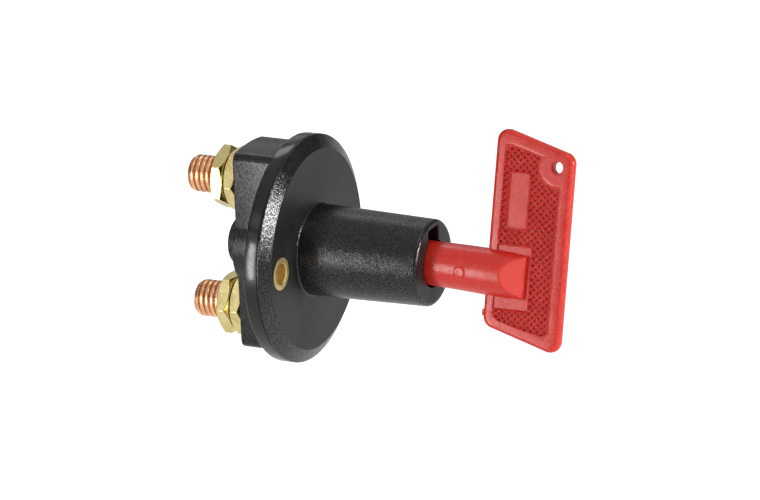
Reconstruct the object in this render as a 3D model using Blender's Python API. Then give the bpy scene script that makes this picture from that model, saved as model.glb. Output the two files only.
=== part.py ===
"""Battery isolator switch with a removable key, for a boat's panel.

Frame: +Z up, metres. The origin lies on the barrel's axis, in the plane of the
flange's flat front face. The barrel and key point along -Y, the two terminal
studs along +Y, one above the other. Dimensions below are in millimetres.
"""
import bpy
import bmesh
import math
from mathutils import Matrix, Vector

MM = 0.001
GAP = 0.3                     # running or seating clearance between two pieces

# flange and barrel
FLANGE_R = 30.2
FACE_R = 26.6                 # flat front face, inside the flange's chamfer
SEAM_Y = 2.6                  # joint between the front and the rear moulding
FLANGE_BACK_Y = 6.3
BARREL_BASE_R = 12.15
BARREL_END_R = 11.4
BARREL_END_Y = -33.8
CHAMBER_R = 10.0
MOUTH_WALL_Y = -29.8          # inner side of the barrel's front wall
MOUTH_R = 6.6
MOUTH_SLOT_W = 6.0
MOUTH_SLOT_TOP = 9.4

# terminal block
BLOCK_HALF_W = 9.1
BLOCK_TOP = 27.4
BLOCK_ARCH = 0.9              # how far the arched ends drop at the sides
BLOCK_CORNER_R = 2.4
BLOCK_BACK_Y = 19.2
BOSS_R = 11.3
BOSS_BACK_Y = 19.5
SPRING_BOSS_R = 6.2
SPRING_BOSS_Y = 23.4
CAVITY_HALF_W = 6.8
CAVITY_HALF_H = 24.0
CAVITY_FLOOR_Y = 15.0
POCKET_R = 5.0
POCKET_FLOOR_Y = 22.0

# studs and nuts (M10)
STUD_Z = 17.4
STUD_R = 5.0
STUD_END_Y = 35.4
STUD_HEAD = 12.6              # square head
STUD_HEAD_Y = 11.5            # contact face
NUT_AF = 15.0
NUT_T = 3.6

# mounting bushes
BUSH_X = 21.0
BUSH_LIP_R = 4.29
BUSH_BODY_R = 3.6
BUSH_BORE_R = 2.78

# key
KEY_LEAN = 16.8               # degrees, plate against the slot in the barrel
SHAFT_R = 5.9
SHAFT_TIP_Y = -13.0
LUG_TOP = 9.0
LUG_W = 5.4
LUG_FRONT_Y = -29.2
LUG_BACK_Y = -24.0
PLATE_NEAR = 48.75            # distances along the axis, in front of the face
PLATE_FAR = 70.7
PLATE_TOP = 36.44             # height of the top edge at 53 mm
PLATE_BOTTOM = -14.78         # height of the bottom edge at 52 mm
PLATE_SLANT = 0.279           # fall of both edges, mm per mm
PLATE_CORNER_R = 3.0
RIM_T = 3.2
WEB_T = 2.0
RIM_W = 2.65
NOSE_END = 60.8
NOSE_APEX = 55.2
NOSE_END_H = 2.4
LANYARD_U = 66.3
LANYARD_V = 28.1
LANYARD_R = 1.55

# contact mechanism
TRAVEL = 3.0                  # contact stroke for a quarter turn of the key
ROTOR_R = 9.6
ROTOR_FRONT_Y = -29.5
ROTOR_BORE_R = 6.25
ROTOR_FLOOR_Y = -12.7
ROTOR_BACK_Y = -11.0
RAMP_Y = -10.3
FOLLOWER_HALF = 12.0          # degrees
CARRIER_R = 9.5
CARRIER_FRONT_Y = -6.4
CARRIER_BACK_Y = -1.4
STEM_R = 2.0
STEM_END_Y = 11.4
BRIDGE_Y = 6.2
BRIDGE_T = 2.0
BRIDGE_HALF_W = 6.0
BRIDGE_HALF_H = 22.5

for old in list(bpy.data.objects):
    bpy.data.objects.remove(old, do_unlink=True)


def material(name, colour, roughness, metallic=0.0):
    mat = bpy.data.materials.new(name)
    mat.use_nodes = True
    bsdf = mat.node_tree.nodes["Principled BSDF"]
    bsdf.inputs["Base Color"].default_value = (*colour, 1.0)
    bsdf.inputs["Roughness"].default_value = roughness
    bsdf.inputs["Metallic"].default_value = metallic
    mat.diffuse_color = (*colour, 1.0)
    return mat


BLACK = material("black_moulding", (0.018, 0.018, 0.020), 0.42)
BRASS = material("brass", (0.78, 0.60, 0.26), 0.28, 1.0)
COPPER = material("copper", (0.86, 0.44, 0.27), 0.30, 1.0)
RED = material("red_key", (0.62, 0.035, 0.030), 0.35)
NYLON = material("natural_nylon", (0.72, 0.69, 0.60), 0.50)
STEEL = material("spring_steel", (0.55, 0.56, 0.58), 0.32, 1.0)


def to_object(name, bm, mat, place=(0.0, 0.0, 0.0), angle=40.0):
    bmesh.ops.remove_doubles(bm, verts=bm.verts, dist=1e-7)
    bmesh.ops.recalc_face_normals(bm, faces=bm.faces)
    mesh = bpy.data.meshes.new(name)
    bm.to_mesh(mesh)
    bm.free()
    mesh.shade_smooth()
    mesh.set_sharp_from_angle(angle=math.radians(angle))
    ob = bpy.data.objects.new(name, mesh)
    bpy.context.scene.collection.objects.link(ob)
    ob.location = Vector(place) * MM
    if mat is not None:
        mesh.materials.append(mat)
    return ob


def helper(ob):
    ob.hide_render = True
    ob.display_type = "WIRE"
    return ob


def boolean(ob, tool, operation):
    helper(tool)
    mod = ob.modifiers.new(operation.title() + "_" + tool.name, "BOOLEAN")
    mod.operation = operation
    mod.solver = "EXACT"
    mod.object = tool
    return ob


def turned(name, profile, mat, place=(0.0, 0.0, 0.0), steps=64, phase=0.0):
    """A profile of (radius, y) points spun about the local Y axis, its first facet edge at phase degrees."""
    bm = bmesh.new()
    verts = [bm.verts.new((r * MM, y * MM, 0.0)) for r, y in profile]
    edges = [bm.edges.new(pair) for pair in zip(verts[:-1], verts[1:])]
    if all(r > 0 for r, _ in profile):
        edges.append(bm.edges.new((verts[-1], verts[0])))
    bmesh.ops.spin(bm, geom=verts + edges, cent=(0, 0, 0), axis=(0, 1, 0),
                   angle=2 * math.pi, steps=steps, use_merge=True)
    bmesh.ops.remove_doubles(bm, verts=bm.verts, dist=2e-6)
    bm.transform(Matrix.Rotation(math.radians(phase), 4, "Y"))
    return to_object(name, bm, mat, place)


def extruded(name, corners, direction, length, mat, turn=0.0, place=(0, 0, 0)):
    """A flat outline of (x, y, z) points pushed along direction."""
    bm = bmesh.new()
    face = bm.faces.new([bm.verts.new(Vector(c) * MM) for c in corners])
    grown = bmesh.ops.extrude_face_region(bm, geom=[face])
    moved = [g for g in grown["geom"] if isinstance(g, bmesh.types.BMVert)]
    bmesh.ops.translate(bm, verts=moved, vec=Vector(direction).normalized() * length * MM)
    bm.transform(Matrix.Rotation(math.radians(turn), 4, "Y"))
    return to_object(name, bm, mat, place, 30.0)


def box(name, lo, hi, mat=None, turn=0.0):
    (x0, y0, z0), (x1, y1, z1) = lo, hi
    return extruded(name, [(x0, y0, z0), (x1, y0, z0), (x1, y0, z1), (x0, y0, z1)],
                    (0, 1, 0), y1 - y0, mat, turn)


def rounded(points, radius, steps=6):
    """The closed outline of 2-D points with each corner rounded."""
    out = []
    count = len(points)
    for i, corner in enumerate(points):
        corner = Vector(corner)
        a = (Vector(points[i - 1]) - corner).normalized()
        b = (Vector(points[(i + 1) % count]) - corner).normalized()
        half = a.angle(b) / 2
        start = corner + a * (radius / math.tan(half))
        middle = corner + (a + b).normalized() * (radius / math.sin(half))
        v0 = start - middle
        v1 = corner + b * (radius / math.tan(half)) - middle
        sweep = math.atan2(v0.x * v1.y - v0.y * v1.x, v0.dot(v1))
        for k in range(steps + 1):
            t = sweep * k / steps
            out.append((middle.x + v0.x * math.cos(t) - v0.y * math.sin(t),
                        middle.y + v0.x * math.sin(t) + v0.y * math.cos(t)))
    return out


def coil(name, radius, wire_r, y0, y1, turns, mat, per_turn=12):
    """Round wire wound about the local Y axis between two planes."""
    curve = bpy.data.curves.new(name, "CURVE")
    curve.dimensions = "3D"
    curve.bevel_depth = wire_r * MM
    curve.bevel_resolution = 1
    curve.use_fill_caps = True
    count = int(turns * per_turn) + 1
    spline = curve.splines.new("POLY")
    spline.points.add(count - 1)
    for i in range(count):
        t = i / (count - 1)
        a = 2 * math.pi * turns * t
        y = y0 + wire_r + (y1 - y0 - 2 * wire_r) * t
        spline.points[i].co = (radius * math.sin(a) * MM, y * MM, radius * math.cos(a) * MM, 1.0)
    ob = bpy.data.objects.new(name, curve)
    bpy.context.scene.collection.objects.link(ob)
    curve.materials.append(mat)
    return ob


def sector(name, r0, r1, from_deg, to_deg, base_y, top_y, steps, mat):
    """A ring sector about Y. top_y(angle) gives its end face, angles from +Z towards +X."""
    bm = bmesh.new()
    rows = []
    for i in range(steps + 1):
        d = from_deg + (to_deg - from_deg) * i / steps
        s, c = math.sin(math.radians(d)), math.cos(math.radians(d))
        rows.append([bm.verts.new(Vector((r * s, y, r * c)) * MM)
                     for r, y in ((r0, base_y), (r1, base_y), (r1, top_y(d)), (r0, top_y(d)))])
    for a, b in zip(rows[:-1], rows[1:]):
        for k in range(4):
            bm.faces.new((a[k], a[(k + 1) % 4], b[(k + 1) % 4], b[k]))
    bm.faces.new(rows[0])
    bm.faces.new(list(reversed(rows[-1])))
    return to_object(name, bm, mat)


# ---------------------------------------------------------------- front housing
front_housing = turned("front_housing", [
    (MOUTH_R + 0.4, BARREL_END_Y), (10.3, BARREL_END_Y), (10.95, BARREL_END_Y + 0.2),
    (BARREL_END_R, BARREL_END_Y + 0.9), (BARREL_BASE_R, -0.5), (BARREL_BASE_R + 0.5, 0.0),
    (FACE_R, 0.0), (FLANGE_R, SEAM_Y - GAP / 2 - 0.15), (FLANGE_R, SEAM_Y - GAP / 2),
    (CHAMBER_R, SEAM_Y - GAP / 2), (CHAMBER_R, MOUTH_WALL_Y), (MOUTH_R, MOUTH_WALL_Y),
    (MOUTH_R, BARREL_END_Y + 0.4)], BLACK, steps=64)
boolean(front_housing, box("tool_mouth_slot", (-MOUTH_SLOT_W / 2, BARREL_END_Y - 2, 1.0),
                           (MOUTH_SLOT_W / 2, MOUTH_WALL_Y + 0.8, MOUTH_SLOT_TOP)), "DIFFERENCE")
boolean(front_housing, box("tool_guide_grooves", (-11.0, -10.0, -1.6), (11.0, SEAM_Y + 2, 1.6)), "DIFFERENCE")
for tag, x in (("left", -BUSH_X), ("right", BUSH_X)):
    boolean(front_housing, turned("tool_bush_seat_" + tag, [
        (0, -1.0), (BUSH_LIP_R + GAP, -1.0), (BUSH_LIP_R + GAP, 1.2), (BUSH_BODY_R + GAP, 1.2),
        (BUSH_BODY_R + GAP, 4.0), (0, 4.0)], None, (x, 0, 0), 28, 4.0), "DIFFERENCE")

# -------------------------------------------------------------------- rear base
rear_base = turned("rear_base", [
    (0, SEAM_Y + GAP / 2), (FLANGE_R, SEAM_Y + GAP / 2), (FLANGE_R, FLANGE_BACK_Y - 0.4),
    (FLANGE_R - 0.4, FLANGE_BACK_Y), (0, FLANGE_BACK_Y)], BLACK, steps=64)


def block_outline():
    pts = []
    n = 8
    inner = BLOCK_HALF_W - BLOCK_CORNER_R
    arch = lambda x: BLOCK_TOP - BLOCK_ARCH * (x / BLOCK_HALF_W) ** 2
    cz = arch(inner) - BLOCK_CORNER_R
    for side in (1, -1):
        for k in range(n + 1):
            a = math.radians(90 * k / n)
            pts.append((side * (inner + BLOCK_CORNER_R * math.cos(a)),
                        side * (cz + BLOCK_CORNER_R * math.sin(a))))
        for k in range(1, n):
            x = inner - 2 * inner * k / n
            pts.append((side * x, side * arch(x)))
        for k in range(n + 1):
            a = math.radians(90 - 90 * k / n)
            pts.append((-side * (inner + BLOCK_CORNER_R * math.cos(a)),
                        side * (cz + BLOCK_CORNER_R * math.sin(a))))
    return pts


block = extruded("tool_terminal_block", [(x, 4.4, z) for x, z in block_outline()],
                 (0, 1, 0), BLOCK_BACK_Y - 4.4, BLACK)
boolean(rear_base, block, "UNION")
boolean(rear_base, turned("tool_bosses", [
    (0, 4.0), (BOSS_R, 4.0), (BOSS_R, BOSS_BACK_Y - 0.3), (BOSS_R - 0.3, BOSS_BACK_Y),
    (SPRING_BOSS_R, BOSS_BACK_Y), (SPRING_BOSS_R, SPRING_BOSS_Y - 0.6),
    (SPRING_BOSS_R - 0.6, SPRING_BOSS_Y), (0, SPRING_BOSS_Y)], BLACK, steps=64), "UNION")
cavity = [(x, 1.5, z) for x, z in rounded(
    [(-CAVITY_HALF_W, -CAVITY_HALF_H), (CAVITY_HALF_W, -CAVITY_HALF_H),
     (CAVITY_HALF_W, CAVITY_HALF_H), (-CAVITY_HALF_W, CAVITY_HALF_H)], 1.2, 4)]
boolean(rear_base, extruded("tool_contact_cavity", cavity, (0, 1, 0), CAVITY_FLOOR_Y - 1.5, None), "DIFFERENCE")
boolean(rear_base, turned("tool_spring_pocket", [
    (0, 13.5), (POCKET_R, 13.5), (POCKET_R, POCKET_FLOOR_Y), (0, POCKET_FLOOR_Y)], None, steps=32, phase=3.0), "DIFFERENCE")
for tag, z in (("upper", STUD_Z), ("lower", -STUD_Z)):
    boolean(rear_base, turned("tool_stud_hole_" + tag, [
        (0, 13.0), (STUD_R + GAP, 13.0), (STUD_R + GAP, 21.0), (0, 21.0)], None, (0, 0, z), 32, 3.0), "DIFFERENCE")
for tag, x in (("left", -BUSH_X), ("right", BUSH_X)):
    boolean(rear_base, turned("tool_base_bush_hole_" + tag, [
        (0, 1.5), (BUSH_BODY_R + GAP, 1.5), (BUSH_BODY_R + GAP, 8.0), (0, 8.0)], None, (x, 0, 0), 28, 4.0), "DIFFERENCE")

# ------------------------------------------------------------- mounting bushes
for tag, x in (("left", -BUSH_X), ("right", BUSH_X)):
    turned("mounting_bush_" + tag, [
        (BUSH_BORE_R, 0.35), (BUSH_BORE_R + 0.35, 0.0), (BUSH_LIP_R - 0.35, 0.0), (BUSH_LIP_R, 0.35),
        (BUSH_LIP_R, 0.9), (BUSH_BODY_R, 0.9), (BUSH_BODY_R, FLANGE_BACK_Y + 0.3),
        (BUSH_LIP_R + 0.2, FLANGE_BACK_Y + 0.3), (BUSH_LIP_R + 0.2, FLANGE_BACK_Y + 0.8),
        (BUSH_BORE_R + 0.4, FLANGE_BACK_Y + 1.2), (BUSH_BORE_R, FLANGE_BACK_Y + 0.9)],
        BRASS, (x, 0, 0), 24)

# ------------------------------------------------------------- studs and nuts
for tag, z in (("upper", STUD_Z), ("lower", -STUD_Z)):
    stud = turned("terminal_stud_" + tag, [
        (0, STUD_HEAD_Y + 1.0), (STUD_R, STUD_HEAD_Y + 1.0), (STUD_R, STUD_END_Y - 1.4),
        (STUD_R - 1.1, STUD_END_Y), (0, STUD_END_Y)], COPPER, (0, 0, z), 32)
    head = box("tool_stud_head_" + tag, (-STUD_HEAD / 2, STUD_HEAD_Y, z - STUD_HEAD / 2),
               (STUD_HEAD / 2, CAVITY_FLOOR_Y - GAP, z + STUD_HEAD / 2), COPPER)
    boolean(stud, head, "UNION")

FACE_RING = NUT_AF / 2 * 0.96
CORNER_R = NUT_AF / 2 / math.cos(math.radians(30))
RISE = (CORNER_R + 0.3 - FACE_RING) * math.tan(math.radians(30))
for where, start in (("inner", BLOCK_BACK_Y + GAP), ("outer", BLOCK_BACK_Y + 2 * GAP - 0.05 + NUT_T)):
    for tag, z, turn in (("upper", STUD_Z, 27.0 if where == "inner" else 2.0),
                         ("lower", -STUD_Z, 31.0 if where == "inner" else 30.0)):
        nut = turned(where + "_nut_" + tag, [
            (STUD_R + GAP, start + 0.5), (STUD_R + GAP + 0.5, start), (FACE_RING, start),
            (CORNER_R + 0.3, start + RISE), (CORNER_R + 0.3, start + NUT_T - RISE),
            (FACE_RING, start + NUT_T), (STUD_R + GAP + 0.5, start + NUT_T),
            (STUD_R + GAP, start + NUT_T - 0.5)], BRASS, (0, 0, z), 36, 2.0)
        corners = [(-CORNER_R * math.cos(math.radians(turn + 30 + 60 * k)), start - 0.5,
                    CORNER_R * math.sin(math.radians(turn + 30 + 60 * k))) for k in range(6)]
        hexagon = extruded("tool_hexagon_%s_%s" % (where, tag), corners, (0, 1, 0), NUT_T + 1.0,
                           None, 0.0, (0, 0, z))
        boolean(nut, hexagon, "INTERSECT")

# -------------------------------------------------------------------------- key


def plate_corners(inset):
    """The plate's four corners as (-axial distance, height), inset all round."""
    lean = math.hypot(1.0, PLATE_SLANT)
    near, far = PLATE_NEAR + inset, PLATE_FAR - inset
    top = lambda u: PLATE_TOP - PLATE_SLANT * (u - 53.0) - inset * lean
    bottom = lambda u: PLATE_BOTTOM - PLATE_SLANT * (u - 52.0) + inset * lean
    return [(-near, bottom(near)), (-near, top(near)), (-far, top(far)), (-far, bottom(far))]


key = extruded("key", [(-RIM_T / 2, y, z) for y, z in rounded(plate_corners(0.0), PLATE_CORNER_R)],
               (1, 0, 0), RIM_T, RED, KEY_LEAN)
pocket = rounded(plate_corners(RIM_W), 1.6, 4)
for tag, x in (("near", -RIM_T / 2 - 1.0), ("far", WEB_T / 2)):
    boolean(key, extruded("tool_key_pocket_" + tag, [(x, y, z) for y, z in pocket], (1, 0, 0),
                          RIM_T / 2 + 1.0 - WEB_T / 2, None, KEY_LEAN), "DIFFERENCE")
shaft = turned("tool_key_shaft", [
    (0, -NOSE_END), (SHAFT_R, -NOSE_END), (SHAFT_R, SHAFT_TIP_Y - 0.8), (SHAFT_R - 0.8, SHAFT_TIP_Y),
    (0, SHAFT_TIP_Y)], RED, steps=48)
boolean(key, shaft, "UNION")
for tag, s in (("near", -1), ("far", 1)):
    slope = (SHAFT_R - NOSE_END_H) / (NOSE_END - NOSE_APEX)
    lo, hi = NOSE_APEX - 1.0, NOSE_END + 1.0
    wedge = [(s * (SHAFT_R + slope * 1.0), -lo), (s * (SHAFT_R + 2.0), -lo), (s * (SHAFT_R + 2.0), -hi),
             (s * (NOSE_END_H - slope * 1.0), -hi)]
    boolean(key, extruded("tool_nose_cut_" + tag, [(x, y, -7.0) for x, y in wedge], (0, 0, 1), 14.0,
                          None, KEY_LEAN), "DIFFERENCE")
boolean(key, box("tool_key_lug", (-LUG_W / 2, LUG_FRONT_Y, 3.0), (LUG_W / 2, LUG_BACK_Y, LUG_TOP), RED), "UNION")
hole = turned("tool_lanyard_hole", [(0, -4), (LANYARD_R, -4), (LANYARD_R, 4), (0, 4)], None, steps=24)
hole.matrix_world = (Matrix.Rotation(math.radians(KEY_LEAN), 4, "Y")
                     @ Matrix.Translation(Vector((0, -LANYARD_U, LANYARD_V)) * MM)
                     @ Matrix.Rotation(math.radians(90), 4, "Z"))
boolean(key, hole, "DIFFERENCE")

# ------------------------------------------------------------ contact mechanism
cam_rotor = turned("cam_rotor", [
    (0, ROTOR_FLOOR_Y), (ROTOR_BORE_R, ROTOR_FLOOR_Y), (ROTOR_BORE_R, ROTOR_FRONT_Y),
    (ROTOR_R, ROTOR_FRONT_Y), (ROTOR_R, ROTOR_BACK_Y), (0, ROTOR_BACK_Y)], NYLON, steps=48)
boolean(cam_rotor, box("tool_rotor_slot", (-3.0, ROTOR_FRONT_Y - 1.5, 3.5), (3.0, LUG_BACK_Y + GAP, 11.0)), "DIFFERENCE")
for tag, at in (("top", 0.0), ("bottom", 180.0)):
    ramp = sector("tool_ramp_" + tag, 6.6, 9.3, at - 104.0, at + 14.0, ROTOR_BACK_Y - 0.8,
                  lambda d, at=at: RAMP_Y + TRAVEL * (at - d) / 90.0, 24, NYLON)
    boolean(cam_rotor, ramp, "UNION")

FOLLOWER_Y = RAMP_Y + TRAVEL * FOLLOWER_HALF / 90.0 + GAP
contact_carrier = turned("contact_carrier", [
    (0, CARRIER_FRONT_Y), (CARRIER_R, CARRIER_FRONT_Y), (CARRIER_R, CARRIER_BACK_Y), (STEM_R, CARRIER_BACK_Y),
    (STEM_R, BRIDGE_Y + BRIDGE_T + 1.1), (STEM_R - 0.5, BRIDGE_Y + BRIDGE_T + 1.1),
    (STEM_R - 0.5, STEM_END_Y - 0.7), (STEM_R, STEM_END_Y - 0.7), (STEM_R, STEM_END_Y), (0, STEM_END_Y)],
    NYLON, steps=48)
for tag, at in (("top", 0.0), ("bottom", 180.0)):
    boolean(contact_carrier, sector("tool_follower_" + tag, 6.8, 9.1, at - FOLLOWER_HALF, at + FOLLOWER_HALF,
                                    CARRIER_FRONT_Y + 0.8, lambda d: FOLLOWER_Y, 4, NYLON), "UNION")
for tag, s in (("left", -1), ("right", 1)):
    x0, x1 = sorted((s * 8.2, s * 10.7))
    boolean(contact_carrier, box("tool_guide_ear_" + tag, (x0, CARRIER_FRONT_Y + 0.4, -1.3),
                                 (x1, CARRIER_BACK_Y - 0.4, 1.3), NYLON), "UNION")

bridge = extruded("contact_bridge", [(x, BRIDGE_Y, z) for x, z in rounded(
    [(-BRIDGE_HALF_W, -BRIDGE_HALF_H), (BRIDGE_HALF_W, -BRIDGE_HALF_H),
     (BRIDGE_HALF_W, BRIDGE_HALF_H), (-BRIDGE_HALF_W, BRIDGE_HALF_H)], 1.5, 4)], (0, 1, 0), BRIDGE_T, COPPER)
boolean(bridge, turned("tool_bridge_hole", [(0, 4), (STEM_R + GAP, 4), (STEM_R + GAP, 10), (0, 10)],
                       None, steps=24), "DIFFERENCE")

coil("contact_spring", 4.4, 0.6, CARRIER_BACK_Y + GAP, BRIDGE_Y - GAP, 3.5, STEEL)
WASHER_Y = BRIDGE_Y + BRIDGE_T + GAP
turned("pressure_washer", [(STEM_R + GAP, WASHER_Y), (5.0, WASHER_Y), (5.0, WASHER_Y + 0.8),
                           (STEM_R + GAP, WASHER_Y + 0.8)], STEEL, steps=32)
clip = sector("retaining_clip", STEM_R - 0.2, 3.3, 35.0, 325.0, WASHER_Y + 0.8 + GAP,
              lambda d: WASHER_Y + 1.6 + GAP, 24, STEEL)
coil("return_spring", 4.1, 0.45, WASHER_Y + 0.8 + GAP, POCKET_FLOOR_Y - GAP, 6.5, STEEL)
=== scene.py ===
"""Looks of the battery isolator switch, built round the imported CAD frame.

The row frame: -Y along the barrel towards the key, +Y towards the terminal studs, +Z up.
Lengths in this file are in millimetres and are scaled by MM when a mesh is made.
"""
import math

import bmesh
import bpy
import numpy as np
from mathutils import Matrix, Vector


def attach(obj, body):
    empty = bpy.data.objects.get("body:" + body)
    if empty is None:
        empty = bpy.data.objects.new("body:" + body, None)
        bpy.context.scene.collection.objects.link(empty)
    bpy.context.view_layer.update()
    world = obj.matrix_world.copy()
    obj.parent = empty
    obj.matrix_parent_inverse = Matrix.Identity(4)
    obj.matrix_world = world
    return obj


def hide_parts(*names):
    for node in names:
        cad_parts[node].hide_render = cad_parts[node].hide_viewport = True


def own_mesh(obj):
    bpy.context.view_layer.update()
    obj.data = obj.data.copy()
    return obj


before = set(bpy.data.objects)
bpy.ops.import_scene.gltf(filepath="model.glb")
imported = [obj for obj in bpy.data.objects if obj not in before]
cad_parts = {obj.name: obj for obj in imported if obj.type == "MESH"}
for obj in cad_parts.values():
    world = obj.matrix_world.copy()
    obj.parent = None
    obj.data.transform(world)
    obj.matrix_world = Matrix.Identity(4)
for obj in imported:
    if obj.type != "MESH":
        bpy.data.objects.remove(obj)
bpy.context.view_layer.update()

MM = 0.001

# ------------------------------------------------------------------ dimensions
FLANGE_R, FACE_R, SEAM_Y, FLANGE_BACK_Y, GAP = 30.2, 26.6, 2.6, 6.3, 0.3
BARREL_BASE_R, BARREL_END_R, BARREL_END_Y = 12.15, 11.4, -33.8
CHAMBER_R, MOUTH_WALL_Y, MOUTH_R = 10.0, -29.8, 6.35
SLOT_W, SLOT_TOP = 6.0, 9.4
BLOCK_HALF_W, BLOCK_TOP, BLOCK_ARCH, BLOCK_CORNER_R, BLOCK_BACK_Y = 9.1, 27.4, 0.9, 2.4, 19.2
BOSS_R, BOSS_BACK_Y, SPRING_BOSS_R, SPRING_BOSS_Y = 11.3, 19.5, 6.2, 23.4
STUD_Z, STUD_R, STUD_END_Y, STUD_HEAD, STUD_HEAD_Y, PITCH = 17.4, 5.0, 35.4, 12.6, 11.5, 1.5
NUT_AF, NUT_T = 15.0, 3.6
BUSH_X, BUSH_LIP_R, BUSH_BODY_R, BUSH_BORE_R = 21.0, 4.29, 3.6, 2.78
KEY_LEAN, SHAFT_R, SHAFT_TIP = 16.8, 5.9, 13.0
PLATE_NEAR, PLATE_FAR, PLATE_TOP, PLATE_BOTTOM, PLATE_SLANT = 48.75, 70.7, 36.44, -15.05, 0.279
PLATE_CORNER_R, RIM_T, RIM_W = 3.0, 3.2, 2.65
NOSE_APEX, NOSE_END, NOSE_END_H = 55.1, 60.3, 2.4
LANYARD_U, LANYARD_V, LANYARD_R = 66.3, 28.1, 1.55


# ------------------------------------------------------------------- materials
def new_material(name):
    mat = bpy.data.materials.new(name)
    mat.use_nodes = True
    tree = mat.node_tree
    return mat, tree, tree.nodes["Principled BSDF"]


def add(tree, kind, **settings):
    node = tree.nodes.new(kind)
    for key, value in settings.items():
        if key.startswith("in_"):
            node.inputs[key[3:].replace("_", " ")].default_value = value
        else:
            setattr(node, key, value)
    return node


def noise(tree, coords, scale, detail=2.0, roughness=0.5, distortion=0.0):
    node = add(tree, "ShaderNodeTexNoise", in_Scale=scale, in_Detail=detail,
               in_Roughness=roughness, in_Distortion=distortion)
    tree.links.new(coords, node.inputs["Vector"])
    return node.outputs["Fac"]


def remap(tree, value, a, b, c, d):
    node = add(tree, "ShaderNodeMapRange")
    for i, v in enumerate((a, b, c, d)):
        node.inputs[i + 1].default_value = v
    tree.links.new(value, node.inputs[0])
    return node.outputs[0]


def ramp(tree, value, stops):
    node = add(tree, "ShaderNodeValToRGB")
    while len(node.color_ramp.elements) < len(stops):
        node.color_ramp.elements.new(0.5)
    for element, (at, colour) in zip(node.color_ramp.elements, stops):
        element.position = at
        element.color = (*colour, 1.0)
    tree.links.new(value, node.inputs[0])
    return node.outputs[0]


def bump(tree, shader, heights):
    """Bumps one on the other: (height, strength, distance in metres)."""
    last = None
    for height, strength, distance in heights:
        node = add(tree, "ShaderNodeBump", in_Strength=strength, in_Distance=distance)
        tree.links.new(height, node.inputs["Height"])
        if last is not None:
            tree.links.new(last, node.inputs["Normal"])
        last = node.outputs["Normal"]
    tree.links.new(last, shader.inputs["Normal"])


def add_values(tree, a, b, operation="ADD"):
    node = add(tree, "ShaderNodeMath", operation=operation)
    for i, v in enumerate((a, b)):
        if isinstance(v, (int, float)):
            node.inputs[i].default_value = v
        else:
            tree.links.new(v, node.inputs[i])
    return node.outputs[0]


def black_plastic(name, grain, rough):
    """Glass-filled moulding: near-black, with a fine pitted grain that sparkles in a highlight."""
    mat, tree, shader = new_material(name)
    at = add(tree, "ShaderNodeTexCoord").outputs["Object"]
    fine = noise(tree, at, 3000.0, 1.0, 0.5)
    broad = noise(tree, at, 160.0, 3.0, 0.6)
    colour = ramp(tree, add_values(tree, add_values(tree, fine, 0.6, "MULTIPLY"), add_values(tree, broad, 0.4, "MULTIPLY")),
                  [(0.35, (0.0022, 0.0022, 0.0023)), (0.5, (0.0040, 0.0040, 0.0041)), (0.68, (0.010, 0.010, 0.0102))])
    tree.links.new(colour, shader.inputs["Base Color"])
    speck = noise(tree, at, 4600.0, 1.0, 0.5)
    tree.links.new(add_values(tree, remap(tree, broad, 0.3, 0.7, rough - 0.05, rough + 0.05),
                              remap(tree, speck, 0.3, 0.7, -0.08, 0.10)), shader.inputs["Roughness"])
    shader.inputs["IOR"].default_value = 1.52
    glint = noise(tree, at, 3700.0, 0.0, 0.5)            # the glass fibre's uneven sheen
    tree.links.new(remap(tree, glint, 0.36, 0.66, 0.45 - 0.32 * grain, 0.45 + 0.40 * grain), shader.inputs["Specular IOR Level"])
    bump(tree, shader, [(noise(tree, at, 420.0, 2.0, 0.5), 0.06, 0.0003),
                        (fine, grain, 0.000078), (speck, grain * 0.8, 0.00003)])
    return mat


def metal(name, low, mid, high, rough, grain, lathe=None):
    """Bright cut metal with tool marks and slight tarnish."""
    mat, tree, shader = new_material(name)
    at = add(tree, "ShaderNodeTexCoord").outputs["Object"]
    tarnish = noise(tree, at, 260.0, 4.0, 0.6, 0.4)
    colour = ramp(tree, tarnish, [(0.30, low), (0.52, mid), (0.72, high)])
    tree.links.new(colour, shader.inputs["Base Color"])
    shader.inputs["Metallic"].default_value = 1.0
    stretch = add(tree, "ShaderNodeMapping")
    stretch.inputs["Scale"].default_value = lathe or (1.0, 6.0, 1.0)
    tree.links.new(at, stretch.inputs["Vector"])
    marks = noise(tree, stretch.outputs["Vector"], 900.0, 3.0, 0.6)
    tree.links.new(add_values(tree, remap(tree, tarnish, 0.3, 0.7, rough + 0.07, rough - 0.04),
                              remap(tree, marks, 0.3, 0.7, -0.04, 0.05)), shader.inputs["Roughness"])
    bump(tree, shader, [(marks, grain, 0.00004), (noise(tree, at, 500.0, 2.0), 0.12, 0.00015)])
    return mat


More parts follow.
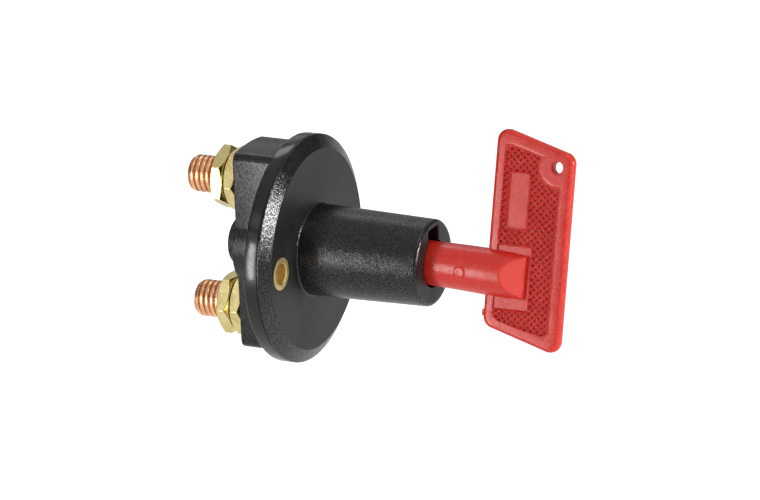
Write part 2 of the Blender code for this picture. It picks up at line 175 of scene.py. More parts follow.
def red_plastic(name, pits):
    """Glossy moulded plastic: flow marks, fine scuffs and, where it is knurled, painted shade darkening the pits."""
    mat, tree, shader = new_material(name)
    at = add(tree, "ShaderNodeTexCoord").outputs["Object"]
    flow = noise(tree, at, 110.0, 3.0, 0.6, 0.6)
    colour = ramp(tree, flow, [(0.30, (0.550, 0.018, 0.010)), (0.52, (0.615, 0.024, 0.014)), (0.74, (0.660, 0.033, 0.020))])
    # painted shade: where pointiness marks a concave spot (the knurl's pits), the colour is darkened to a deep red
    painted_pit_shade_mask = add(tree, "ShaderNodeNewGeometry").outputs["Pointiness"]
    painted_pit_shade_mix = add(tree, "ShaderNodeMix", data_type="RGBA")
    tree.links.new(remap(tree, painted_pit_shade_mask, 0.40, 0.50, 1.0, 0.0), painted_pit_shade_mix.inputs[0])
    tree.links.new(colour, painted_pit_shade_mix.inputs[6])
    painted_pit_shade_mix.inputs[7].default_value = (0.22, 0.004, 0.004, 1.0)
    tree.links.new(painted_pit_shade_mix.outputs[2] if pits else colour, shader.inputs["Base Color"])
    scuff = noise(tree, at, 1500.0, 3.0, 0.6)
    tree.links.new(add_values(tree, remap(tree, flow, 0.3, 0.7, 0.22, 0.30), remap(tree, scuff, 0.3, 0.7, -0.05, 0.08)),
                   shader.inputs["Roughness"])
    shader.inputs["IOR"].default_value = 1.5
    bump(tree, shader, [(flow, 0.10, 0.0006), (scuff, 0.16, 0.00006)])
    return mat


def simple(name, low, high, rough, metallic, scale=900.0):
    mat, tree, shader = new_material(name)
    at = add(tree, "ShaderNodeTexCoord").outputs["Object"]
    grain = noise(tree, at, scale, 3.0, 0.6)
    tree.links.new(ramp(tree, grain, [(0.3, low), (0.7, high)]), shader.inputs["Base Color"])
    tree.links.new(remap(tree, grain, 0.3, 0.7, rough - 0.06, rough + 0.08), shader.inputs["Roughness"])
    shader.inputs["Metallic"].default_value = metallic
    bump(tree, shader, [(grain, 0.2, 0.00005)])
    return mat


BLACK = black_plastic("black_moulding_grained", 0.85, 0.18)
BLACK_REAR = black_plastic("black_moulding_rear", 0.55, 0.19)
BLACK_RIM = black_plastic("black_moulding_polished", 0.10, 0.13)
BLACK_FLAT = black_plastic("black_moulding_flat", 0.12, 0.44)
BRASS = metal("brass_nut", (0.62, 0.50, 0.20), (0.78, 0.65, 0.30), (0.86, 0.75, 0.40), 0.23, 0.12)
BUSH_BRASS = metal("brass_bush", (0.66, 0.50, 0.20), (0.80, 0.62, 0.27), (0.90, 0.76, 0.40), 0.42, 0.12)
COPPER = metal("copper_thread", (0.72, 0.36, 0.18), (0.89, 0.52, 0.29), (0.95, 0.64, 0.41), 0.28, 0.20, (1.0, 3.0, 1.0))
RED = red_plastic("red_plastic_gloss", False)
RED_KNURLED = red_plastic("red_plastic_knurled", True)
NYLON = simple("natural_nylon", (0.62, 0.58, 0.48), (0.76, 0.73, 0.64), 0.45, 0.0, 500.0)
STEEL = simple("drawn_spring_steel", (0.42, 0.43, 0.45), (0.62, 0.63, 0.65), 0.28, 1.0, 1400.0)


# --------------------------------------------------------------------- meshing
def piece(name, verts, faces, mats, body, slot, replaces, angle=35.0, index=None):
    """verts in millimetres; faces a list of index tuples. Returns the object, closed with its faces out."""
    mesh = bpy.data.meshes.new(name)
    mesh.from_pydata((np.asarray(verts, float) * MM).tolist(), [], faces)
    bm = bmesh.new()
    bm.from_mesh(mesh)
    bmesh.ops.remove_doubles(bm, verts=bm.verts, dist=2e-7)
    bmesh.ops.recalc_face_normals(bm, faces=bm.faces)
    bm.to_mesh(mesh)
    bm.free()
    ob = bpy.data.objects.new(name, mesh)
    bpy.context.scene.collection.objects.link(ob)
    for m in mats if isinstance(mats, (list, tuple)) else [mats]:
        mesh.materials.append(m)
    mesh.shade_smooth()
    mesh.set_sharp_from_angle(angle=math.radians(angle))
    if body:
        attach(ob, body)
        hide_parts(*replaces)
    return ob


def rings(loops, closed_chain=False):
    """Faces between equal-length closed loops of vertices. Ends are capped with one face each, unless the loops form a chain that closes."""
    n = len(loops[0])
    verts = np.concatenate([np.asarray(l, float) for l in loops])
    faces = []
    count = len(loops)
    for a in range(count if closed_chain else count - 1):
        b = (a + 1) % count
        for i in range(n):
            j = (i + 1) % n
            faces.append((a * n + i, a * n + j, b * n + j, b * n + i))
    if not closed_chain:
        faces.append(tuple(range(n)))
        faces.append(tuple(reversed(range((count - 1) * n, count * n))))
    return verts, faces


def filleted(points, steps=5):
    """A profile of (a, b, radius) corners, closed, with arcs at the corners."""
    out = []
    n = len(points)
    for i, (x, y, r) in enumerate(points):
        c = Vector((x, y))
        if r <= 0:
            out.append((x, y))
            continue
        a = (Vector(points[i - 1][:2]) - c).normalized()
        b = (Vector(points[(i + 1) % n][:2]) - c).normalized()
        half = a.angle(b) / 2
        if half > math.radians(89):
            out.append((x, y))
            continue
        start = c + a * (r / math.tan(half))
        middle = c + (a + b).normalized() * (r / math.sin(half))
        v0, v1 = start - middle, c + b * (r / math.tan(half)) - middle
        sweep = math.atan2(v0.x * v1.y - v0.y * v1.x, v0.dot(v1))
        for k in range(steps + 1):
            t = sweep * k / steps
            out.append((middle.x + v0.x * math.cos(t) - v0.y * math.sin(t),
                        middle.y + v0.x * math.sin(t) + v0.y * math.cos(t)))
    return out


def circle(r, y, n, x0=0.0, z0=0.0, phase=0.0):
    t = 2 * math.pi * (np.arange(n) + phase) / n
    return np.stack([x0 + r * np.sin(t), np.full(n, y), z0 + r * np.cos(t)], 1)


def lathe(profile, n, x0=0.0, z0=0.0, phase=0.0):
    """A closed profile of (r, y), spun about the Y axis through (x0, z0). A ring if it stays off the axis."""
    on_axis = any(r < 1e-6 for r, _ in profile)
    if not on_axis:
        return rings([circle(r, y, n, x0, z0, phase) for r, y in profile], True)
    body = [(r, y) for r, y in profile if r > 1e-6]
    return rings([circle(r, y, n, x0, z0, phase) for r, y in body])


def smooth(x, a, b):
    s = np.clip((x - a) / (b - a), 0, 1)
    return s * s * (3 - 2 * s)


def tool(name, verts, faces):
    ob = piece(name, verts, faces, [], None, None, ())
    ob.hide_render = True
    return ob


def carve(ob, tools, operation="DIFFERENCE"):
    """Applies booleans to ob's mesh and removes the tools."""
    for t in tools:
        mod = ob.modifiers.new(t.name, "BOOLEAN")
        mod.operation, mod.solver, mod.object = operation, "EXACT", t
    bpy.context.view_layer.update()
    dg = bpy.context.evaluated_depsgraph_get()
    made = bpy.data.meshes.new_from_object(ob.evaluated_get(dg), preserve_all_data_layers=True, depsgraph=dg)
    ob.modifiers.clear()
    old = ob.data
    ob.data = made
    bpy.data.meshes.remove(old)
    for t in tools:
        bpy.data.objects.remove(t, do_unlink=True)


def finish_edges(ob, angle):
    ob.data.shade_smooth()
    ob.data.set_sharp_from_angle(angle=math.radians(angle))


def prism(outline, y0, y1):
    """An outline of (x, z) pushed from y0 to y1."""
    return rings([[(x, y, z) for x, z in outline] for y in (y0, y1)])


# --------------------------------------------------------------- front housing
SEAM_GAP = 0.12
half_seam = SEAM_Y - SEAM_GAP / 2
housing_profile = filleted([
    (MOUTH_R, BARREL_END_Y, 0.38), (BARREL_END_R, BARREL_END_Y, 1.0), (BARREL_BASE_R, 0.0, 0.45),
    (FACE_R, 0.0, 0.30), (FLANGE_R, half_seam - 0.45, 0.25), (FLANGE_R, half_seam, 0.12),
    (CHAMBER_R, half_seam, 0.0), (CHAMBER_R, MOUTH_WALL_Y, 0.0), (MOUTH_R, MOUTH_WALL_Y, 0.0)], 6)
N = 224
verts, faces = lathe(housing_profile, N)
housing = piece("front_housing_shell", verts, faces, [BLACK, BLACK_FLAT], "housing", "black_moulding", ["front_housing"])
slot_outline = filleted([(-SLOT_W / 2, 1.0, 0), (SLOT_W / 2, 1.0, 0), (SLOT_W / 2, SLOT_TOP, 0.5), (-SLOT_W / 2, SLOT_TOP, 0.5)])
flare = filleted([(-SLOT_W / 2 - 0.3, 1.0, 0), (SLOT_W / 2 + 0.3, 1.0, 0), (SLOT_W / 2 + 0.3, SLOT_TOP + 0.3, 0.7),
                  (-SLOT_W / 2 - 0.3, SLOT_TOP + 0.3, 0.7)])
keyway = rings([[(x, y, z) for x, z in o] for o, y in ((flare, BARREL_END_Y - 0.4), (flare, BARREL_END_Y),
                                                      (slot_outline, BARREL_END_Y + 0.35), (slot_outline, MOUTH_WALL_Y + 0.8))])
tools = [tool("tool_keyway", *keyway),
         tool("tool_grooves", *prism([(-11, -1.6), (11, -1.6), (11, 1.6), (-11, 1.6)], -10.0, SEAM_Y + 2))]
for x in (-BUSH_X, BUSH_X):
    seat = [(0, -1.0), (BUSH_LIP_R + 0.06, -1.0), (BUSH_LIP_R + 0.06, 1.2),
            (BUSH_BODY_R + GAP, 1.2), (BUSH_BODY_R + GAP, 4.0), (0, 4.0)]
    tools.append(tool("tool_seat", *lathe(seat, 64, x, 0.0, 0.37)))
carve(housing, tools)
finish_edges(housing, 32.0)


def flat_faces(ob, y, r0, r1, index):
    for poly in ob.data.polygons:
        c = poly.center / MM
        if abs(poly.normal.y) > 0.995 and abs(c.y - y) < 0.05 and r0 < math.hypot(c.x, c.z) < r1:
            poly.material_index = index


flat_faces(housing, 0.0, 12.0, 27.0, 1)
flat_faces(housing, BARREL_END_Y, 6.0, 11.5, 1)


# ------------------------------------------------------------------- rear base
def block_outline(inset):
    n = 8
    half, r = BLOCK_HALF_W - inset, BLOCK_CORNER_R - 0.6 * inset
    top = BLOCK_TOP - inset
    inner = half - r
    arch = lambda x: top - BLOCK_ARCH * (x / BLOCK_HALF_W) ** 2
    cz = arch(inner) - r
    pts = []
    for side in (1, -1):
        for k in range(n + 1):
            a = math.radians(90 * k / n)
            pts.append((side * (inner + r * math.cos(a)), side * (cz + r * math.sin(a))))
        for k in range(1, 2 * n):
            x = inner - inner * k / n
            pts.append((side * x, side * arch(x)))
        for k in range(n + 1):
            a = math.radians(90 - 90 * k / n)
            pts.append((-side * (inner + r * math.cos(a)), side * (cz + r * math.sin(a))))
    return pts


disc = filleted([(0.0001, half_seam + SEAM_GAP, 0), (FLANGE_R, half_seam + SEAM_GAP, 0.10), (FLANGE_R, FLANGE_BACK_Y, 0.45),
                 (0.0001, FLANGE_BACK_Y, 0)], 5)
base = piece("rear_base_moulding", *lathe([(0, 0)] + disc[1:-1], N, phase=0.25), [BLACK_REAR, BLACK_FLAT], "housing", "black_moulding", ["rear_base"])
base.data.materials.append(BLACK_RIM)
edge = 0.55
layers = [(0.0, 4.4)] + [(edge * (1 - math.cos(math.radians(15 * k))), BLOCK_BACK_Y - edge + edge * math.sin(math.radians(15 * k)))
                         for k in range(7)]
block = tool("tool_block", *rings([[(x, y, z) for x, z in block_outline(i)] for i, y in layers]))
boss = filleted([(0.0001, 4.0, 0), (BOSS_R, 4.0, 0), (BOSS_R, BOSS_BACK_Y, 0.5), (SPRING_BOSS_R, BOSS_BACK_Y, 0.35),
                 (SPRING_BOSS_R, SPRING_BOSS_Y, 0.6), (0.0001, SPRING_BOSS_Y, 0)], 5)
bosses = tool("tool_bosses", *lathe([(0, 0)] + boss[1:-1], 128, phase=0.31))
carve(base, [block, bosses], "UNION")
cavity = filleted([(-6.8, -24.0, 1.2), (6.8, -24.0, 1.2), (6.8, 24.0, 1.2), (-6.8, 24.0, 1.2)], 4)
tools = [tool("tool_cavity", *prism(cavity, 1.5, 15.0)),
         tool("tool_pocket", *lathe([(0, 13.5), (5.0, 13.5), (5.0, 22.0), (0, 22.0)], 48, phase=0.4))]
for z in (STUD_Z, -STUD_Z):
    tools.append(tool("tool_hole", *lathe([(0, 13.0), (STUD_R + GAP, 13.0), (STUD_R + GAP, 21.0), (0, 21.0)], 64, 0.0, z, 0.4)))
for x in (-BUSH_X, BUSH_X):
    tools.append(tool("tool_bush_hole", *lathe([(0, 1.5), (BUSH_BODY_R + GAP, 1.5), (BUSH_BODY_R + GAP, 8.0), (0, 8.0)], 64, x, 0.0, 0.4)))
carve(base, tools)
finish_edges(base, 32.0)
for poly in base.data.polygons:
    c = poly.center / MM
    if math.hypot(c.x, c.z) > 29.6 and c.y < 6.4:
        poly.material_index = 2

# -------------------------------------------------------------- mounting bushes
for tag, x in (("left", -BUSH_X), ("right", BUSH_X)):
    profile = filleted([
        (BUSH_BORE_R, 0.0, 0.16), (BUSH_LIP_R, 0.0, 0.08), (BUSH_LIP_R, 0.9, 0.1), (BUSH_BODY_R, 0.9, 0.05),
        (BUSH_BODY_R, FLANGE_BACK_Y + 0.3, 0.05), (BUSH_LIP_R + 0.2, FLANGE_BACK_Y + 0.3, 0.15),
        (BUSH_LIP_R + 0.2, FLANGE_BACK_Y + 1.0, 0.4), (BUSH_BORE_R, FLANGE_BACK_Y + 1.2, 0.35)], 7)
    piece("bush_" + tag, *lathe(profile, 96, x), BUSH_BRASS, "housing", "brass", ["mounting_bush_" + tag], 50.0)


# ---------------------------------------------------------------------- studs
def stud(tag, z0, start):
    """A square-headed stud with a real right-hand M10 x 1.5 thread."""
    n = 120
    t = 2 * np.pi * np.arange(n) / n
    crest, depth = STUD_R - 0.02, 0.90
    loops = []

    def ring(radius, y):
        loops.append(np.stack([radius * np.sin(t), np.full(n, y), z0 + radius * np.cos(t)], 1))

    half = STUD_HEAD / 2
    corner = 1.0

    def square(s):
        a = np.abs((t + np.pi / 4) % (np.pi / 2) - np.pi / 4)
        flat = s / np.cos(a)
        # rounded corners, as the far side of a small circle
        c = np.array([s - corner, s - corner])
        d = np.stack([np.cos(a), np.sin(a)], 1)
        b = d @ c
        disc = np.maximum(b * b - (c @ c - corner * corner), 0)
        arc = b + np.sqrt(disc)
        return np.where(flat * np.sin(a) > s - corner, arc, flat)

    ring(square(half - 0.35) * 0.5, STUD_HEAD_Y)
    ring(square(half - 0.35), STUD_HEAD_Y)
    ring(square(half), STUD_HEAD_Y + 0.35)
    ring(square(half), 14.7 - 0.3)
    ring(square(half - 0.3), 14.7)
    ring(np.full(n, 5.0), 14.7)
    step = PITCH / 22
    for y in np.arange(14.9, STUD_END_Y - 0.02, step):
        f = ((y - start) / PITCH - t / (2 * np.pi)) % 1.0
        d = np.abs(2 * f - 1)                       # 0 on the crest, 1 in the root
        x = np.clip(d / 0.80, 0, 1)                 # a wide rounded crest, falling steeply to a narrow root
        r = crest - 0.36 * (1 - np.sqrt(1 - x ** 2.4)) - (depth - 0.36) * smooth(d, 0.74, 0.90)
        run_in = min(1.0, (y - 14.9) / 1.5)
        r = crest - (crest - r) * run_in
        left = STUD_END_Y - y
        limit = 3.95 + 1.05 * min(1.0, max(0.0, (left - 0.05) / 1.5)) ** 0.75
        r = -np.log(np.exp(-14 * r) + np.exp(-14 * limit)) / 14 + 0.0
        if left < 0.35:
            r = r - (0.35 - np.sqrt(max(0.0, 0.35 ** 2 - (0.35 - left) ** 2)))
        ring(np.maximum(r, 2.5), y)
    ring(np.full(n, 3.45), STUD_END_Y)
    ring(np.full(n, 1.6), STUD_END_Y)
    piece("threaded_stud_" + tag, *rings(loops), COPPER, "housing", "copper", ["terminal_stud_" + tag], 42.0)


stud("upper", STUD_Z, 0.30)
stud("lower", -STUD_Z, 0.85)


# ----------------------------------------------------------------------- nuts
def nut(name, z0, start, turn, replaces):
    n = 180
    t = 2 * np.pi * np.arange(n) / n
    normal = math.radians(-90.0 + turn)              # direction of one flat, measured from +Z towards +X
    a = (t - normal + np.pi / 6) % (np.pi / 3) - np.pi / 6
    # put a vertex exactly on each corner
    shift = (normal - np.pi / 6) % (2 * np.pi / n)
    t = t + shift
    a = (t - normal + np.pi / 6) % (np.pi / 3) - np.pi / 6
    hexagon = (NUT_AF / 2) / np.cos(a)
    face = NUT_AF / 2 * 0.96
    drop = (hexagon - face) * math.tan(math.radians(30))
    end = start + NUT_T
    bore = STUD_R + 0.06
    sink = 0.55
    loops = []

    def ring(r, y):
        r = np.broadcast_to(r, (n,)).astype(float)
        y = np.broadcast_to(y, (n,)).astype(float)
        loops.append(np.stack([r * np.sin(t), y, z0 + r * np.cos(t)], 1))

    ring(bore, start + sink)
    ring(bore + sink, start)
    ring(face, start)
    ring(face + (hexagon - face) * 0.5, start + drop * 0.5)
    ring(hexagon, start + drop)
    ring(hexagon, (start + end) / 2)
    ring(hexagon, end - drop)
    ring(face + (hexagon - face) * 0.5, end - drop * 0.5)
    ring(face, end)
    ring(bore + sink, end)
    ring(bore, end - sink)
    ob = piece(name, *rings(loops, True), BRASS, "housing", "brass", [replaces], 24.0)
    mod = ob.modifiers.new("worn_edges", "BEVEL")
    mod.width, mod.segments, mod.limit_method, mod.angle_limit = 0.00010, 2, "ANGLE", math.radians(24)
    mod.harden_normals = False
    return ob


inner = BLOCK_BACK_Y + GAP
outer = BLOCK_BACK_Y + 2 * GAP - 0.05 + NUT_T
nut("nut_inner_upper", STUD_Z, inner, 27.0, "inner_nut_upper")
nut("nut_inner_lower", -STUD_Z, inner, 31.0, "inner_nut_lower")
nut("nut_outer_upper", STUD_Z, outer, 2.0, "outer_nut_upper")
nut("nut_outer_lower", -STUD_Z, outer, 30.0, "outer_nut_lower")

# ------------------------------------------------------------------------ key
LEAN = Matrix.Rotation(math.radians(KEY_LEAN), 3, "Y")
LEAN_NP = np.array(LEAN)
SLANT_L = math.hypot(1.0, PLATE_SLANT)


def in_key(points):
    """(u, v, t) of the key's own frame, with u along -Y, v up the plate and t towards its near face, to the row frame."""
    p = np.asarray(points, float)
    return np.stack([-p[:, 2], -p[:, 0], p[:, 1]], 1) @ LEAN_NP.T


def swing(u, v):
    """The plate's upright edges lean out a little towards the bottom."""
    return u + 0.011 * (28.0 - v)


def plate_corners(inset):
    near, far = PLATE_NEAR + inset, PLATE_FAR - inset
    top = lambda u: PLATE_TOP - PLATE_SLANT * (u - 53.0) - inset * SLANT_L
    bottom = lambda u: PLATE_BOTTOM - PLATE_SLANT * (u - 52.0) + inset * SLANT_L
    return [(near, bottom(near)), (far, bottom(far)), (far, top(far)), (near, top(near))]


def rim_loop(inset, t):
    radius = PLATE_CORNER_R - inset * (PLATE_CORNER_R - 1.5) / RIM_W
    arcs = filleted([(x, y, radius) for x, y in plate_corners(inset)], 14)
    per = len(arcs) // 4
    out = []
    for c in range(4):                               # points along the straight runs as well
        arc = arcs[c * per:(c + 1) * per]
        nxt = arcs[((c + 1) * per) % len(arcs)]
        out += arc
        last = arc[-1]
        for k in range(1, 12):
            out.append((last[0] + (nxt[0] - last[0]) * k / 12, last[1] + (nxt[1] - last[1]) * k / 12))
    return in_key([(swing(u, v), v, t) for u, v in out])


rim_section = filleted([
    (0.0, -RIM_T / 2, 1.22), (0.0, RIM_T / 2, 1.22), (RIM_W, RIM_T / 2, 0), (RIM_W, 0.5, 0),
    (RIM_W, -0.5, 0), (RIM_W, -RIM_T / 2, 0)], 8)
piece("key_rim", *rings([rim_loop(d, t) for d, t in rim_section], True), RED, "key", "red_plastic", ["key"], 50.0)


def rounded_box(u, v, u0, u1, v0, v1, slant, r, low_slant=None):
    """Signed distance, negative inside, to a box whose top and bottom fall by slant per mm of u from u = 52."""
    a = np.maximum(u0 - u, u - u1)
    fall = slant * (u - 52.0)
    low = fall if low_slant is None else low_slant * (u - 52.0)
    b = np.maximum(v - (v1 - fall), (v0 - low) - v) / math.hypot(1.0, slant)
    return np.hypot(np.maximum(a + r, 0), np.maximum(b + r, 0)) + np.minimum(np.maximum(a + r, b + r), 0) - r


def plate_height(u, v, phase1, phase2):
    """Half thickness of the plate inside its rim."""
    field = rounded_box(u, v, 51.6, 67.25, -12.75, 32.95, 0.272, 2.2, 0.205)
    hole = np.hypot(u - LANYARD_U, v - LANYARD_V)
    label = rounded_box(u, v, 53.3, 59.1, 11.05, 25.85, 0.0, 0.8)
    pad = rounded_box(u, v, 50.0, 61.2, -9.85, 7.2, 0.0, 0.3)
    arc = 5.4 - hole
    edge = np.maximum(np.maximum(field, arc), np.maximum(-label, -pad))   # distance to the knurled field's border
    level = np.full_like(u, 1.59) - 0.09 * smooth(-np.maximum(field - 0.75, 5.1 - hole - 0.75), 0.0, 0.5)
    level = level + (1.22 - level) * smooth(-label, 0.0, 0.25)
    level = level + (1.12 - level) * smooth(-pad, 0.0, 0.25)

    def ridge(phase, wide):
        d = np.abs((phase + 0.5) % 1.0 - 0.5)
        return 1 - smooth(d, 0.07, wide)

    knurl = 0.82 + 0.66 * np.maximum(ridge(phase1, 0.34), 0.74 * ridge(phase2, 0.31))
    h = level + (knurl - level) * smooth(-edge, 0.0, 0.22)
    bead = np.exp(-(edge / 0.17) ** 2)
    h = h + np.maximum(1.67 - h, 0) * bead
    h = h - 0.16 * (1 - smooth(hole, LANYARD_R, LANYARD_R + 0.28))
    rim = rounded_box(u, v, PLATE_NEAR, PLATE_FAR, PLATE_BOTTOM, PLATE_TOP + PLATE_SLANT, PLATE_SLANT, 3.0)
    return np.where(rim > -2.35, 0.85, h)


# The plate's own grid follows the knurl's two ridge directions: 12 steps to a ridge pitch both ways.
DU, DV = 1 / (0.54 * 12), 1 / (0.565 * 12)
iu = np.arange(math.ceil((PLATE_NEAR + 1.4 - LANYARD_U) / DU), math.floor((PLATE_FAR - 1.4 - LANYARD_U) / DU) + 1)
jv = np.arange(math.ceil((PLATE_BOTTOM - 7 - LANYARD_V) / DV), math.floor((PLATE_TOP + 3 - LANYARD_V) / DV) + 1)
I, J = np.meshgrid(iu, jv, indexing="ij")
X, Y = I * DU, J * DV
reach = 10.0
m = np.maximum(np.abs(I), np.abs(J)) / reach
length = np.hypot(I, J)
length[length == 0] = 1.0
w = 1 - smooth(m, 1.0, 2.5)
U = LANYARD_U + (1 - w) * X + w * LANYARD_R * m * I / length
V = LANYARD_V + (1 - w) * Y + w * LANYARD_R * m * J / length
inside = rounded_box(LANYARD_U + X, LANYARD_V + Y, PLATE_NEAR, PLATE_FAR, PLATE_BOTTOM, PLATE_TOP + PLATE_SLANT, PLATE_SLANT, 3.0) < -1.3
cell = inside[:-1, :-1] & inside[1:, :-1] & inside[:-1, 1:] & inside[1:, 1:]
cu, cv = (I[:-1, :-1] + 0.5), (J[:-1, :-1] + 0.5)
cell &= ~((np.abs(cu) < reach) & (np.abs(cv) < reach))
H = plate_height(U, V, (I - J) / 12.0 + 0.5, (I + J) / 12.0 + 0.5)
number = -np.ones(I.shape, int)
used = np.zeros(I.shape, bool)
for da, db in ((0, 0), (1, 0), (0, 1), (1, 1)):
    used[da:da + cell.shape[0], db:db + cell.shape[1]] |= cell
number[used] = np.arange(used.sum())
count = int(used.sum())
near_side = np.stack([swing(U[used], V[used]), V[used], H[used]], 1)
far_side = near_side * (1, 1, -1)
ci, cj = np.nonzero(cell)
quads = np.stack([number[ci, cj], number[ci + 1, cj], number[ci + 1, cj + 1], number[ci, cj + 1]], 1)
directed = np.concatenate([quads[:, [k, (k + 1) % 4]] for k in range(4)])
key_of = directed[:, 0] * count + directed[:, 1]
back = directed[:, 1] * count + directed[:, 0]
border = directed[~np.isin(key_of, back)]
walls = np.stack([border[:, 1], border[:, 0], border[:, 0] + count, border[:, 1] + count], 1)
web_faces = np.concatenate([quads, quads[:, ::-1] + count, walls]).tolist()
piece("key_knurled_plate", in_key(np.concatenate([near_side, far_side])), web_faces, RED_KNURLED, "key", "red_plastic", ["key"], 60.0)

# The shank: round, with its nose cut to a flat on both sides of the plate.
n = 168
theta = 2 * np.pi * np.arange(n) / n
us = np.unique(np.round(np.concatenate([
    np.linspace(SHAFT_TIP, SHAFT_TIP + 0.8, 7), np.linspace(SHAFT_TIP + 0.8, 41.4, 24), np.linspace(41.4, 45.6, 34),
    np.linspace(45.6, 54.4, 12), np.linspace(54.4, NOSE_END - 0.3, 56), np.linspace(NOSE_END - 0.3, NOSE_END, 6)]), 5))


def soft_min(a, b, k):
    return -k * np.log(np.exp(-a / k) + np.exp(-b / k))


loops = []
for u in us:
    r = 5.82 + 0.30 * np.clip((u - 34.0) / 16.0, 0, 1) - 0.34 * np.clip((u - 54.5) / 6.0, 0, 1)
    tip = u - SHAFT_TIP
    if tip < 0.8:
        r -= 0.8 - math.sqrt(max(0.0, 0.64 - (0.8 - tip) ** 2))
    left = NOSE_END - u
    round_off = 0.0
    if left < 0.3:
        round_off = 0.3 - math.sqrt(max(0.0, 0.09 - (0.3 - left) ** 2))
    tt, vv = r * np.cos(theta), r * np.sin(theta)
    pip = np.hypot(u - 43.5, vv + 1.0)
    swell = np.where(tt > 0, 0.14 * (1 - smooth(pip, 1.25, 1.75)) - 0.05 * (1 - smooth(pip, 0.2, 1.2)), 0.0)
    tt, vv = tt * (1 + swell / r), vv * (1 + swell / r)
    h = SHAFT_R - (SHAFT_R - NOSE_END_H) * np.clip((u - NOSE_APEX) / (NOSE_END - NOSE_APEX), -1, 1)
    tt = np.sign(tt) * np.maximum(soft_min(np.abs(tt), h + 0.0 * tt, 0.05), 0) if u > NOSE_APEX - 1.5 else tt
    if round_off:
        scale_t = (NOSE_END_H - round_off) / NOSE_END_H
        tt, vv = tt * scale_t, vv * (r - round_off) / r
    loops.append(in_key(np.stack([np.full(n, u), vv - 1.2 * float(smooth(u, 30.0, 74.0)), tt], 1)))
shank = piece("key_shank", *rings(loops), RED, "key", "red_plastic", ["key"], 50.0)
lug_outline = filleted([(-2.7, 3.0, 0), (2.7, 3.0, 0), (2.7, 9.0, 0.6), (-2.7, 9.0, 0.6)])
e = 0.3
lug = tool("tool_lug", *rings([[(x * s, y, 6 + (z - 6) * s) for x, z in lug_outline]
                              for s, y in ((0.9, -29.2), (1.0, -28.9), (1.0, -24.3), (0.9, -24.0))]))
carve(shank, [lug], "UNION")
finish_edges(shank, 45.0)

# Gate mark on the plate's near edge.
gate = filleted([(-0.9, -0.9, 0.35), (0.9, -0.9, 0.35), (0.9, 0.9, 0.35), (-0.9, 0.9, 0.35)], 4)
gate_loops = [in_key([(swing(PLATE_NEAR, -11.0) + 0.4 - d, -11.0 + a * s, b * s * 0.8) for a, b in gate])
              for d, s in ((0.0, 1.0), (0.75, 1.0), (0.9, 0.93), (0.95, 0.8))]
piece("key_gate_mark", *rings(gate_loops), RED, "key", "red_plastic", ["key"], 50.0)


# ------------------------------------------------------------ springs and rest
def helix(name, radius, wire, y0, y1, turns, body, replaces):
    """Round wire wound about the Y axis between two planes, with its end turns closed up."""
    per, around = 40, 12
    count = int(turns * per) + 1
    s = np.linspace(0, 1, count)
    ends = 0.75 / turns
    ease = np.clip((s - ends) / (1 - 2 * ends), 0, 1)
    y = y0 + wire + (y1 - y0 - 2 * wire) * ease
    closed = 2.05 * wire                             # one wire's spacing for the closed end turns; nothing below reads it
    y = y + np.where(s < ends, (s / ends - 1) * 0.0, 0.0)
    a = 2 * np.pi * turns * s
    centre = np.stack([radius * np.sin(a), y, radius * np.cos(a)], 1)
    tangent = np.gradient(centre, axis=0)
    tangent /= np.linalg.norm(tangent, axis=1)[:, None]
    out = np.stack([np.sin(a), np.zeros(count), np.cos(a)], 1)
    side = np.cross(tangent, out)
    side /= np.linalg.norm(side, axis=1)[:, None]
    out = np.cross(side, tangent)
    b = 2 * np.pi * np.arange(around) / around
    loops = [c + wire * (np.cos(b)[:, None] * o + np.sin(b)[:, None] * d) for c, o, d in zip(centre, out, side)]
    return piece(name, *rings(loops), STEEL, body, "spring_steel", replaces, 50.0)


spring = helix("return_coil_spring", 4.1, 0.45, 9.6, 21.7, 6.5, "housing", ["return_spring"])
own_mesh(spring)
for node, mat in (("cam_rotor", NYLON), ("contact_carrier", NYLON), ("contact_bridge", COPPER), ("contact_spring", STEEL),
                  ("pressure_washer", STEEL), ("retaining_clip", STEEL)):
    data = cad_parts[node].data
    data.materials.clear()
    data.materials.append(mat)

# ---------------------------------------------------------------- floor, light
scene = bpy.context.scene


def stage_plane(name, size, z, mat):
    mesh = bpy.data.meshes.new(name)
    s = size / 2
    mesh.from_pydata([(-s, -s, z), (s, -s, z), (s, s, z), (-s, s, z)], [], [(0, 1, 2, 3)])
    mesh.materials.append(mat)
    ob = bpy.data.objects.new(name, mesh)
    scene.collection.objects.link(ob)
    return ob


floor_mat, tree, shader = new_material("studio_floor")
at = add(tree, "ShaderNodeTexCoord").outputs["Object"]
tree.links.new(ramp(tree, noise(tree, at, 3.0), [(0.3, (0.62, 0.62, 0.62)), (0.7, (0.65, 0.65, 0.65))]), shader.inputs["Base Color"])
shader.inputs["Roughness"].default_value = 0.9
shader.inputs["Specular IOR Level"].default_value = 0.1
shader.inputs["Emission Color"].default_value = (1.0, 1.0, 1.0, 1.0)
tree.links.new(remap(tree, add(tree, "ShaderNodeLightPath").outputs["Is Camera Ray"], 0.0, 1.0, 0.36, 1.0), shader.inputs["Emission Strength"])
open_below = add(tree, "ShaderNodeMixShader")        # seen from underneath, the floor lets the view through
tree.links.new(add(tree, "ShaderNodeNewGeometry").outputs["Backfacing"], open_below.inputs[0])
tree.links.new(shader.outputs[0], open_below.inputs[1])
tree.links.new(add(tree, "ShaderNodeBsdfTransparent").outputs[0], open_below.inputs[2])
tree.links.new(open_below.outputs[0], tree.nodes["Material Output"].inputs[0])
stage_plane("floor", 16.0, -0.55, floor_mat)

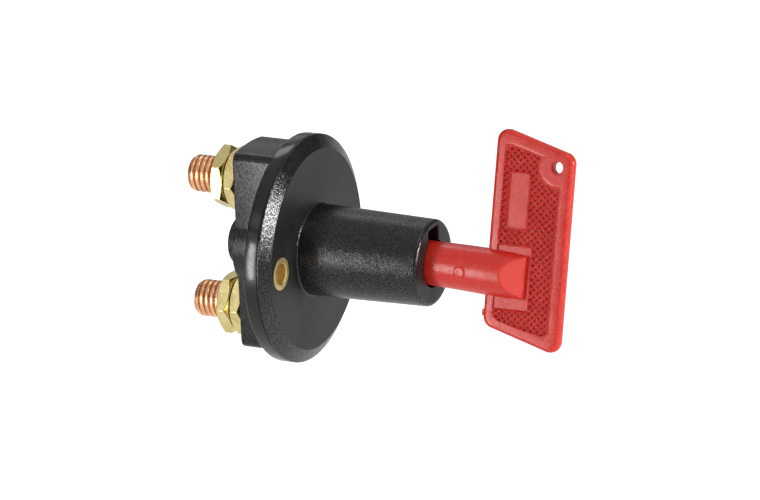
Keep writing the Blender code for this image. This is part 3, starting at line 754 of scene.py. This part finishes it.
world = bpy.data.worlds.new("studio")
scene.world = world
world.use_nodes = True
tree = world.node_tree
background = tree.nodes["Background"]
direction = add(tree, "ShaderNodeTexCoord").outputs["Generated"]
split = add(tree, "ShaderNodeSeparateXYZ")
tree.links.new(direction, split.inputs[0])
sky = ramp(tree, remap(tree, split.outputs["Z"], -1.0, 1.0, 0.0, 1.0),
           [(0.0, (0.8, 0.8, 0.8)), (0.48, (0.8, 0.8, 0.8)), (0.50, (0.10, 0.10, 0.10)), (0.58, (0.10, 0.10, 0.10)),
            (0.70, (0.26, 0.26, 0.26)), (0.85, (0.52, 0.52, 0.52)), (1.0, (0.62, 0.62, 0.62))])
tree.links.new(sky, background.inputs["Color"])
backdrop = add(tree, "ShaderNodeBackground")
backdrop.inputs["Color"].default_value = (1.0, 1.0, 1.0, 1.0)
chosen = add(tree, "ShaderNodeMixShader")
tree.links.new(add(tree, "ShaderNodeLightPath").outputs["Is Camera Ray"], chosen.inputs[0])
tree.links.new(background.outputs[0], chosen.inputs[1])
tree.links.new(backdrop.outputs[0], chosen.inputs[2])
tree.links.new(chosen.outputs[0], tree.nodes["World Output"].inputs[0])


def softbox(name, towards, distance, width, height, radiance):
    """A soft rectangular lamp of that brightness, in the direction towards, facing the switch."""
    data = bpy.data.lights.new(name, "AREA")
    data.shape, data.size, data.size_y = "RECTANGLE", width, height
    data.energy = radiance * math.pi * width * height
    ob = bpy.data.objects.new(name, data)
    scene.collection.objects.link(ob)
    ob.location = Vector(towards).normalized() * distance
    ob.rotation_mode = "QUATERNION"
    ob.rotation_quaternion = (-ob.location).to_track_quat("-Z", "Y")
    ob.visible_camera = False
    return ob


softbox("side_softbox", (-0.90, 0.42, 0.04), 1.1, 0.50, 1.0, 0.75)
softbox("side_strip", (-0.344, 0.155, 0.008), 0.378, 0.062, 0.21, 12.0)
softbox("front_softbox", (0.09, -0.97, 0.20), 1.2, 0.23, 0.26, 58.0)
softbox("near_softbox", (-0.74, -0.66, 0.14), 1.2, 0.50, 0.42, 2.1)
softbox("far_softbox", (0.85, 0.42, 0.34), 1.3, 0.80, 0.44, 0.40)
softbox("back_softbox", (0.55, 0.42, 0.72), 1.3, 0.40, 0.30, 2.0)
softbox("raised_softbox", (-0.70, 0.42, 0.60), 1.2, 0.34, 0.26, 0.8)
softbox("top_softbox", (-0.25, -0.2, 1.0), 1.3, 0.50, 0.50, 2.2)

# --------------------------------------------------------------------- camera
cam_data = bpy.data.cameras.new("camera")
cam = bpy.data.objects.new("camera", cam_data)
scene.collection.objects.link(cam)
scene.camera = cam
right, up, ahead = Vector((0.4301, -0.9020, -0.0369)), Vector((0.3076, 0.1080, 0.9454)), Vector((0.8488, 0.4179, -0.3239))
turn = Matrix((right, up, -ahead)).transposed()
cam.rotation_mode = "QUATERNION"
cam.rotation_quaternion = turn.to_quaternion()
cam.location = (-1.1031, -0.5614, 0.4228)
cam_data.sensor_width, cam_data.lens = 36.0, 236.84
cam_data.clip_start, cam_data.clip_end = 0.05, 50.0
scene.view_settings.view_transform = "Standard"
